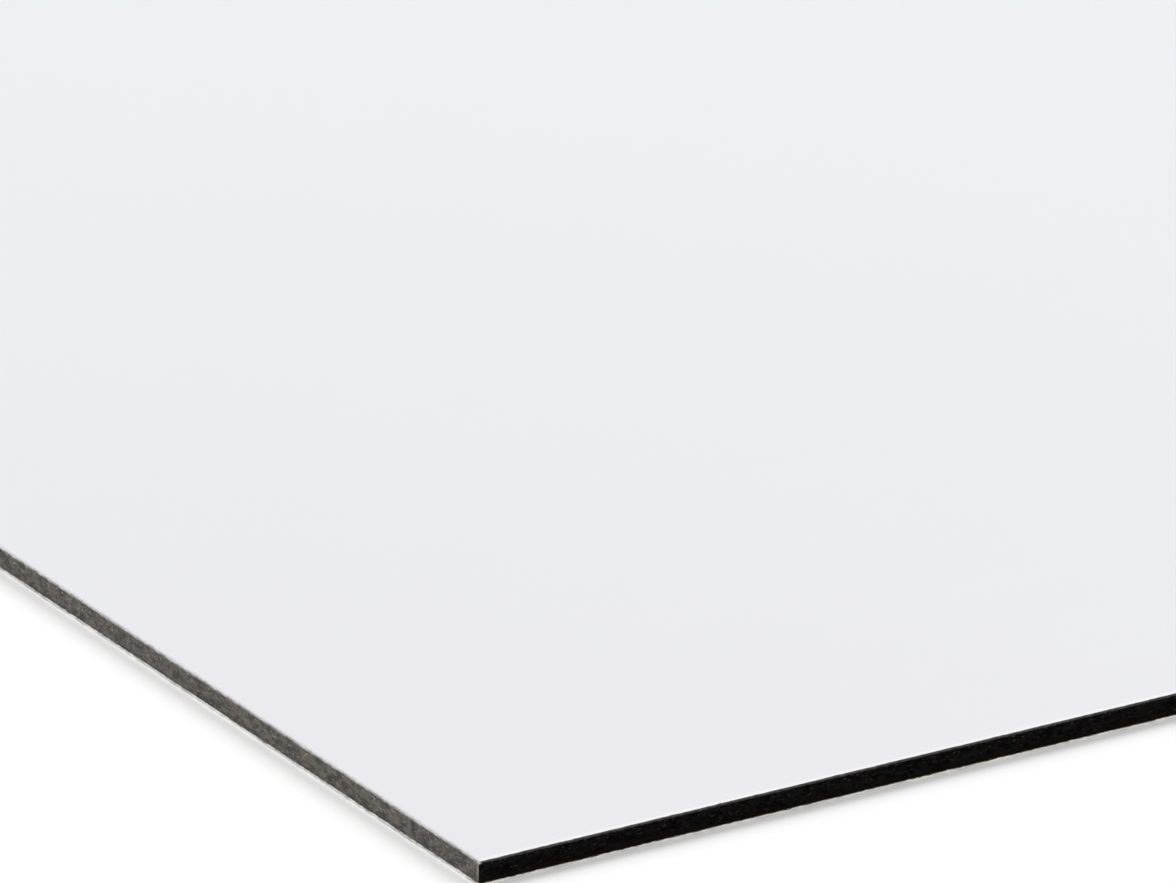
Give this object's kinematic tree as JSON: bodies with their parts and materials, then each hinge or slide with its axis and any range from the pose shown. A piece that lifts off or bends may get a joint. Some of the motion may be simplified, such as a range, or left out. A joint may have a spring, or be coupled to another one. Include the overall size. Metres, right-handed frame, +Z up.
{
  "type": "aluminium composite panel",
  "caption": "Flat rectangular sheet of aluminium composite: white lacquered aluminium front skin, solid black polyethylene core and plain aluminium back skin, cut edges left open.",
  "frame": {"origin": "middle of the underside of the panel, on the floor that it lies on", "axes": "+X along the panel's length, +Y across its width, +Z up through its thickness, out of the white face"},
  "size_m": [1, 0.5, 0.004],
  "materials": {
    "white_lacquer": "smooth semi-gloss white coil coating on aluminium, bare metal at its cut edge",
    "black_polyethylene": "sawn black polyethylene",
    "mill_aluminium": "uncoated mill-finish rolled aluminium"
  },
  "bodies": {
    "root": {"front_skin": "white_lacquer", "core": "black_polyethylene", "back_skin": "mill_aluminium"}
  },
  "joints": []
}
